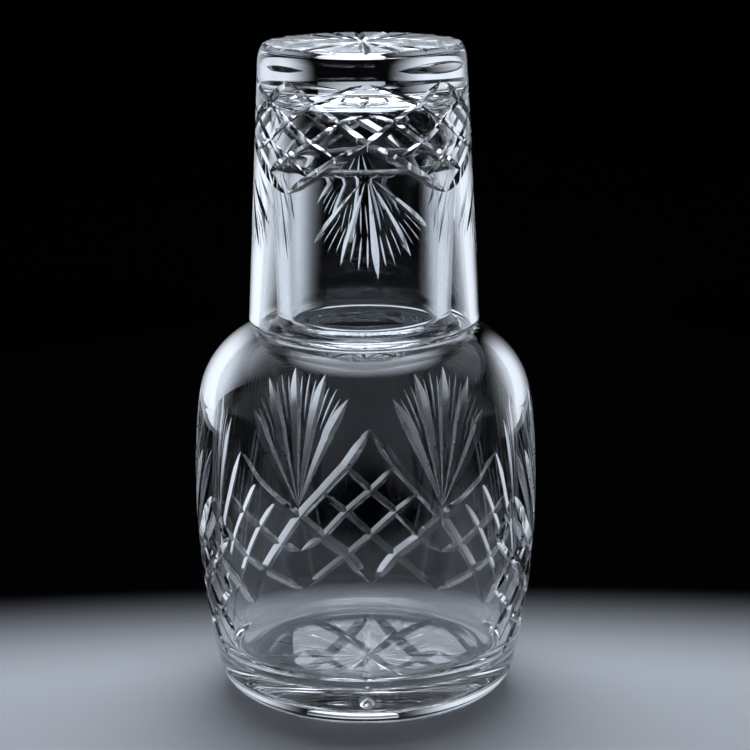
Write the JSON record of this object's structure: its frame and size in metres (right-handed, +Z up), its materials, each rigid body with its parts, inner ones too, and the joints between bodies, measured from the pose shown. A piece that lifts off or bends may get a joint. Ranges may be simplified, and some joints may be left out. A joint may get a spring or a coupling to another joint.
{
  "type": "bedside carafe with tumbler",
  "caption": "Round-bodied cut glass water carafe with a thick straight neck, covered by an upturned cut glass tumbler that rests on its shoulder.",
  "frame": {"origin": "centre of the carafe's base, on the surface that it stands on", "axes": "+Z up along the common axis of the carafe and tumbler, -Y towards the blank panel of the body"},
  "size_m": [0.1044, 0.1044, 0.2003],
  "materials": {
    "carafe_crystal": "clear crystal, polished mitre cuts",
    "tumbler_crystal": "clear crystal, polished mitre cuts"
  },
  "bodies": {
    "carafe": {"carafe": "carafe_crystal"},
    "tumbler": {"tumbler": "tumbler_crystal"}
  },
  "joints": [
    {"name": "tumbler_lift", "type": "slide", "parent": "carafe", "child": "tumbler", "axis": [0, 0, 1], "range_m": [0, 0.06]}
  ]
}
